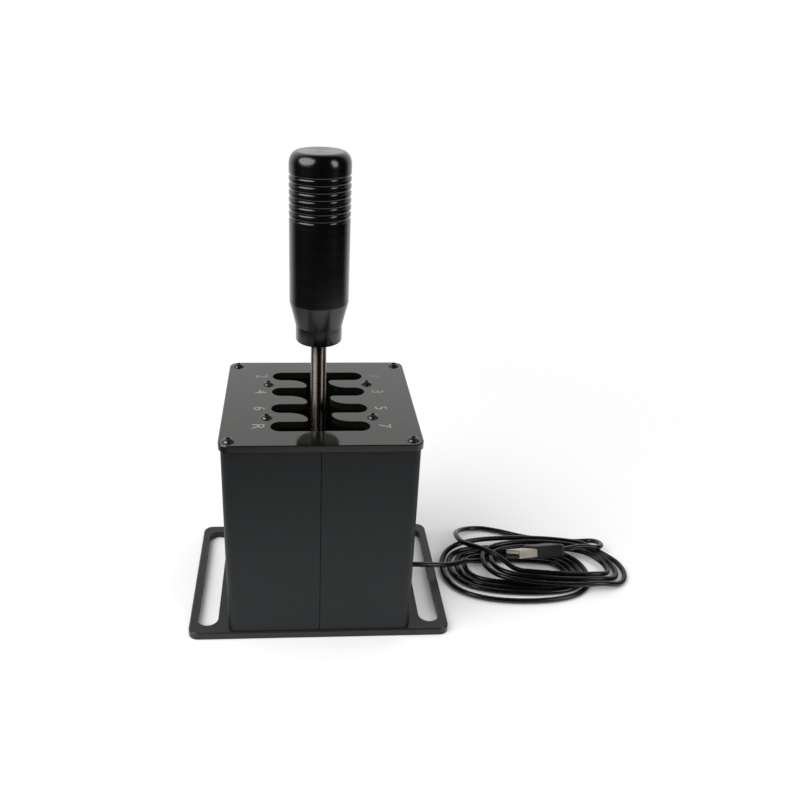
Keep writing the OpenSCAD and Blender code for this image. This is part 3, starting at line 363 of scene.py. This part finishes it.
# Pieces: how near points are welded, and the angle from which an edge stays sharp.
WELD = 0.0005
SHARP_ANGLE = math.radians(38)


def piece_from(shape, name, finish, node=None, body=None):
    """The finished shape as an object of the part, shaded smooth up to its real edges."""
    mesh = bpy.data.meshes.new(name)
    bmesh.ops.remove_doubles(shape, verts=shape.verts, dist=WELD * MM)
    bmesh.ops.recalc_face_normals(shape, faces=shape.faces)
    shape.to_mesh(mesh)
    shape.free()
    mesh.shade_smooth()
    mesh.set_sharp_from_angle(angle=SHARP_ANGLE)
    mesh.materials.append(finish)
    piece = bpy.data.objects.new(name, mesh)
    bpy.context.collection.objects.link(piece)
    if node:
        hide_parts(node)
    if body:
        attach(piece, body)
    return piece


def turned(profile, middle, steps):
    """A solid of revolution about an upright axis, from its half section in radius and height."""
    shape = bmesh.new()
    line = [shape.verts.new(Vector((middle[0] + r, middle[1], middle[2] + z)) * MM) for r, z in profile]
    edges = [shape.edges.new(pair) for pair in zip(line, line[1:])]
    bmesh.ops.spin(
        shape, geom=line + edges, cent=Vector(middle) * MM, axis=(0, 0, 1), dvec=(0, 0, 0),
        angle=2 * math.pi, steps=steps, use_merge=True, use_duplicate=False)
    return shape


# Knob: a turned grip on a collar, with seven rings below a rounded shoulder. It stands over the second gate row.
ROW_PITCH = 19.5
LEVER_Y = ROW_PITCH / 2
KNOB_MIDDLE = (0.0, LEVER_Y, 144.5)
KNOB_HEIGHT = 93.7
KNOB_R, KNOB_BORE_R, KNOB_FLAT_R = 14.8, 4.02, 10.6
COLLAR_R, COLLAR_HEIGHT, COLLAR_CHAMFER, TAPER_HEIGHT = 11.7, 8.5, 0.8, 12.5
SHOULDER_HEIGHT, SHOULDER_STEPS = 6.0, 24
RING_COUNT, RING_PITCH, RING_FIRST = 7, 3.3, 10.7
RING_CUTTER_R, RING_DEPTH, RING_STEPS = 1.2, 0.5, 6
EDGE_BREAK, RING_LIP, FLAT_LIP = 0.18, 0.12, 0.3
KNOB_STEPS = 144


def crisp(corner, before, after):
    """Two points just off a corner, which keep its edge narrow and slightly broken."""
    spot = Vector(corner)
    return [tuple(spot + (Vector(side) - spot).normalized() * EDGE_BREAK) for side in (before, after)]


def knob_profile():
    """The knob's half section from its bore to the middle of its top."""
    corners = [
        (KNOB_BORE_R, 0.0), (COLLAR_R - COLLAR_CHAMFER, 0.0), (COLLAR_R, COLLAR_CHAMFER),
        (COLLAR_R, COLLAR_HEIGHT), (KNOB_R, COLLAR_HEIGHT + TAPER_HEIGHT), (KNOB_R, KNOB_HEIGHT)]
    profile = [corners[0]]
    for before, corner, after in zip(corners, corners[1:], corners[2:]):
        profile += crisp(corner, before, after)
    cutter_middle = KNOB_R + RING_CUTTER_R - RING_DEPTH
    reach = math.acos((cutter_middle - KNOB_R) / RING_CUTTER_R)
    half = RING_CUTTER_R * math.sin(reach)
    for ring in reversed(range(RING_COUNT)):
        height = KNOB_HEIGHT - RING_FIRST - ring * RING_PITCH
        profile.append((KNOB_R, height - half - RING_LIP))
        for step in range(-RING_STEPS, RING_STEPS + 1):
            angle = reach * step / RING_STEPS
            out = cutter_middle - RING_CUTTER_R * math.cos(angle)
            profile.append((out, height + RING_CUTTER_R * math.sin(angle)))
        profile.append((KNOB_R, height + half + RING_LIP))
    for step in range(SHOULDER_STEPS + 1):
        angle = math.pi / 2 * step / SHOULDER_STEPS
        out = KNOB_FLAT_R + (KNOB_R - KNOB_FLAT_R) * math.cos(angle)
        profile.append((out, KNOB_HEIGHT - SHOULDER_HEIGHT * (1 - math.sin(angle))))
    return profile + [(KNOB_FLAT_R - FLAT_LIP, KNOB_HEIGHT), (0.0, KNOB_HEIGHT)]


knob = turned(knob_profile(), KNOB_MIDDLE, KNOB_STEPS)
piece_from(knob, "knob", black_anodised, "gear_knob", "lever")

# Rod: ground bar with broken ends, from inside the hub to inside the knob.
ROD_MIDDLE = (0.0, LEVER_Y, 0.0)
ROD_FOOT, ROD_TOP, ROD_R, ROD_BREAK = 52.0, 184.5, 4.0, 0.5
ROD_STEPS = 96
ROD_PROFILE = [
    (0.0, ROD_FOOT), (ROD_R - ROD_BREAK, ROD_FOOT), (ROD_R, ROD_FOOT + ROD_BREAK),
    (ROD_R, ROD_TOP - ROD_BREAK), (ROD_R - ROD_BREAK, ROD_TOP), (0.0, ROD_TOP)]
rod = turned(ROD_PROFILE, ROD_MIDDLE, ROD_STEPS)
piece_from(rod, "rod", polished_steel, "lever_rod", "lever")

# Centring springs: open coils round the cross shaft. Each goes from its fixed end at the frame to its moving end
# at the carriage.
SHAFT_HEIGHT = 42.0
SPRING_R, SPRING_CURLS, SPRING_STEPS = 6.0, 4, 40
SPRING_WIRE_R, SPRING_WIRE_SIDES = 0.4, 12
SPRING_SPANS = {"front_spring": (-42.0, 1.45), "back_spring": (42.0, 18.05)}


def coil(start, end):
    """A coil of round wire along the cross shaft."""
    shape = bmesh.new()
    seat = Matrix.Translation(Vector((SPRING_R, start, SHAFT_HEIGHT)) * MM)
    ring = bmesh.ops.create_circle(
        shape, cap_ends=False, radius=SPRING_WIRE_R * MM, segments=SPRING_WIRE_SIDES, matrix=seat)["verts"]
    steps = SPRING_CURLS * SPRING_STEPS
    bmesh.ops.spin(
        shape, geom=ring + shape.edges[:], cent=Vector((0, start, SHAFT_HEIGHT)) * MM, axis=(0, 1, 0),
        dvec=Vector((0, (end - start) / steps, 0)) * MM, angle=2 * math.pi * SPRING_CURLS, steps=steps,
        use_merge=False, use_duplicate=False)
    bmesh.ops.holes_fill(shape, edges=[e for e in shape.edges if e.is_boundary], sides=0)
    return shape


for node, (fixed, moving) in SPRING_SPANS.items():
    side = math.copysign(SPRING_WIRE_R, moving - fixed)
    spring = piece_from(coil(fixed + side, moving - side), node + "_wire", spring_steel, node)
    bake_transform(spring)


def plug_grip():
    """The plug's moulded grip: a soft cornered block that draws in to the cable."""
    shape = bmesh.new()
    length = GRIP_TAPER + GRIP_LEN
    block = bmesh.ops.create_cube(shape, size=1.0)["verts"]
    bmesh.ops.scale(shape, verts=block, vec=(length, *GRIP_SIZE))
    bmesh.ops.translate(shape, verts=block, vec=(length / 2, 0, 0))
    bmesh.ops.bisect_plane(
        shape, geom=shape.verts[:] + shape.edges[:] + shape.faces[:], plane_co=(GRIP_TAPER, 0, 0),
        plane_no=(1, 0, 0))
    rear = [v for v in shape.verts if v.co.x < GRIP_TAPER / 2]
    bmesh.ops.scale(shape, verts=rear, vec=(1, *GRIP_REAR_SHARE))
    bmesh.ops.bevel(
        shape, geom=shape.edges[:], offset=GRIP_ROUND, segments=GRIP_ROUND_STEPS, profile=0.5,
        affect="EDGES", material=-1, clamp_overlap=True)
    bmesh.ops.transform(shape, matrix=Matrix.Scale(MM, 4) @ plug_place(), verts=shape.verts)
    return shape


grip = piece_from(plug_grip(), "plug_grip", plug_black, "plug_overmould", "housing")

# Gear numbers: thin paint inlays in the cover's face, beside the rows' ends, with their tops to the right.
COVER_TOP = 115.0
NUMBER_HEIGHT, NUMBER_THICK = 6.0, 0.06
NUMBER_SLIMMER, NUMBER_CURVE_STEPS = 0.008, 6
NUMBER_X = (-30.1, 31.3)
ROWS_Y = [ROW_PITCH * row for row in (1.5, 0.5, -0.5, -1.5)]
LEFT_NUMBERS, RIGHT_NUMBERS = "246R", "1357"


def number_mesh(sign, x, y):
    """One gear number as a mesh, in its place on the cover."""
    words = bpy.data.curves.new("number", "FONT")
    words.body = sign
    words.extrude = NUMBER_THICK / 2
    words.offset = -NUMBER_SLIMMER
    words.resolution_u = NUMBER_CURVE_STEPS
    writing = bpy.data.objects.new("number", words)
    bpy.context.collection.objects.link(writing)
    mesh = bpy.data.meshes.new_from_object(writing.evaluated_get(bpy.context.evaluated_depsgraph_get()))
    bpy.data.objects.remove(writing)
    low = [min(v.co[axis] for v in mesh.vertices) for axis in range(2)]
    high = [max(v.co[axis] for v in mesh.vertices) for axis in range(2)]
    middle = Matrix.Translation((-(low[0] + high[0]) / 2, -(low[1] + high[1]) / 2, 0))
    share = NUMBER_HEIGHT / (high[1] - low[1])
    size = Matrix.Diagonal((share, share, 1, 1))
    turn = Matrix.Rotation(math.radians(-90), 4, "Z")
    mesh.transform(Matrix.Scale(MM, 4) @ Matrix.Translation((x, y, COVER_TOP)) @ turn @ size @ middle)
    return mesh


numbers = bmesh.new()
for x, signs in zip(NUMBER_X, (LEFT_NUMBERS, RIGHT_NUMBERS)):
    for y, sign in zip(ROWS_Y, signs):
        numbers.from_mesh(number_mesh(sign, x, y))
piece_from(numbers, "gear_numbers", number_paint, body="housing")

# Free cable and inner cable, each in place of its stretches in the construction model.
CABLE_STRETCHES = ("cable_lead", "cable_hank", "cable_tail")
for cord, replaced in ((usb_cable, CABLE_STRETCHES), (inner_cable, ("inner_lead",))):
    cord.data.materials.append(cable_pvc)
    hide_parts(*replaced)
    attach(cord, "housing")


# Studio, in metres: a pale floor that runs out into white, white behind the object, and a softbox on each side of
# the camera.
FLOOR_R, FLOOR_SIDES = 0.4, 96
FLOOR_FADE = (0.19, 0.36)
FLOOR_MIDDLE = (0.05, 0.04, -0.0003)
FLOOR_WHITE = "#fbfbfb"
SKY_FILL = (0.15, 0.96)
SKY_DARK = 0.01
SKY_SWEEP = (0.15, 0.8)
SOFTBOX_AIM = Vector((0.0, 0.0, 0.15))
SOFTBOX_DISTANCE = 0.9


def lay_floor():
    """A round floor that keeps the object's shadow and fades into the white round it."""
    shape = bmesh.new()
    place = Matrix.Translation(FLOOR_MIDDLE)
    bmesh.ops.create_circle(shape, cap_ends=True, radius=FLOOR_R, segments=FLOOR_SIDES, matrix=place)
    mesh = bpy.data.meshes.new("floor")
    shape.to_mesh(mesh)
    shape.free()
    material = bpy.data.materials.new("matt_white_floor")
    material.use_nodes = True
    tree = material.node_tree
    tree.nodes.clear()
    spot = add(tree, "ShaderNodeTexCoord").outputs["Object"]
    offset = [-c for c in FLOOR_MIDDLE]
    spread = add(tree, "ShaderNodeVectorMath", {"operation": "ADD"}, {0: spot, 1: offset}).outputs["Vector"]
    reach = add(tree, "ShaderNodeVectorMath", {"operation": "LENGTH"}, {0: spread}).outputs["Value"]
    limits = {"Value": reach, "From Min": FLOOR_FADE[0], "From Max": FLOOR_FADE[1]}
    fade = add(tree, "ShaderNodeMapRange", {"interpolation_type": "SMOOTHSTEP"}, limits).outputs["Result"]
    matt = add(tree, "ShaderNodeBsdfDiffuse", None, {"Color": linear(FLOOR_WHITE)}).outputs["BSDF"]
    clear = add(tree, "ShaderNodeBsdfTransparent").outputs["BSDF"]
    blend = add(tree, "ShaderNodeMixShader", None, {0: fade, 1: matt, 2: clear}).outputs["Shader"]
    add(tree, "ShaderNodeOutputMaterial", None, {"Surface": blend})
    mesh.materials.append(material)
    floor = bpy.data.objects.new("floor", mesh)
    bpy.context.collection.objects.link(floor)


def light_the_sky():
    """White for the camera, white behind and dark in front for reflections, and an even fill for the rest."""
    world = bpy.data.worlds.new("studio")
    world.use_nodes = True
    world.cycles.sampling_method = "NONE"
    tree = world.node_tree
    tree.nodes.clear()
    path = add(tree, "ShaderNodeLightPath").outputs
    aim = add(tree, "ShaderNodeTexCoord").outputs["Generated"]
    parts = add(tree, "ShaderNodeSeparateXYZ", None, {"Vector": aim}).outputs
    rise = {"Value": parts["Z"], "To Min": SKY_FILL[0], "To Max": SKY_FILL[1]}
    fill = add(tree, "ShaderNodeMapRange", None, rise).outputs["Result"]
    limits = {
        "Value": parts["Y"], "From Min": SKY_SWEEP[0], "From Max": SKY_SWEEP[1], "To Min": SKY_DARK,
        "To Max": 1.0}
    sweep = add(tree, "ShaderNodeMapRange", {"interpolation_type": "SMOOTHSTEP"}, limits).outputs["Result"]
    sharp = {0: path["Is Glossy Ray"], 1: path["Is Transmission Ray"]}
    shine = add(tree, "ShaderNodeMath", {"operation": "MAXIMUM"}, sharp).outputs["Value"]
    mirrored = add(tree, "ShaderNodeMix", None, {"Factor": shine, "A": fill, "B": sweep}).outputs["Result"]
    seen = {"Factor": path["Is Camera Ray"], "A": mirrored, "B": 1.0}
    level = add(tree, "ShaderNodeMix", None, seen).outputs["Result"]
    sky = add(tree, "ShaderNodeBackground", None, {"Color": (1, 1, 1, 1), "Strength": level})
    add(tree, "ShaderNodeOutputWorld", None, {"Surface": sky.outputs["Background"]})
    bpy.context.scene.world = world


def hang_softbox(name, side_angle, height_angle, size, brightness):
    """A softbox that many degrees to the right of the camera's side, as bright as that against white."""
    data = bpy.data.lights.new(name, "AREA")
    data.shape = "ELLIPSE"
    data.size, data.size_y = size
    data.energy = brightness * math.pi * size[0] * size[1]
    side, rise = math.radians(side_angle), math.radians(height_angle)
    out = Vector((math.sin(side) * math.cos(rise), -math.cos(side) * math.cos(rise), math.sin(rise)))
    lamp = bpy.data.objects.new(name, data)
    lamp.location = SOFTBOX_AIM + out * SOFTBOX_DISTANCE
    lamp.rotation_euler = out.to_track_quat("Z", "Y").to_euler()
    lamp.visible_camera = False
    bpy.context.collection.objects.link(lamp)


lay_floor()
light_the_sky()
hang_softbox("large_softbox", side_angle=-62, height_angle=38, size=(0.95, 0.8), brightness=3.1)
hang_softbox("small_softbox", side_angle=55, height_angle=26, size=(0.34, 0.6), brightness=3.0)

bpy.context.scene.view_settings.view_transform = "Standard"
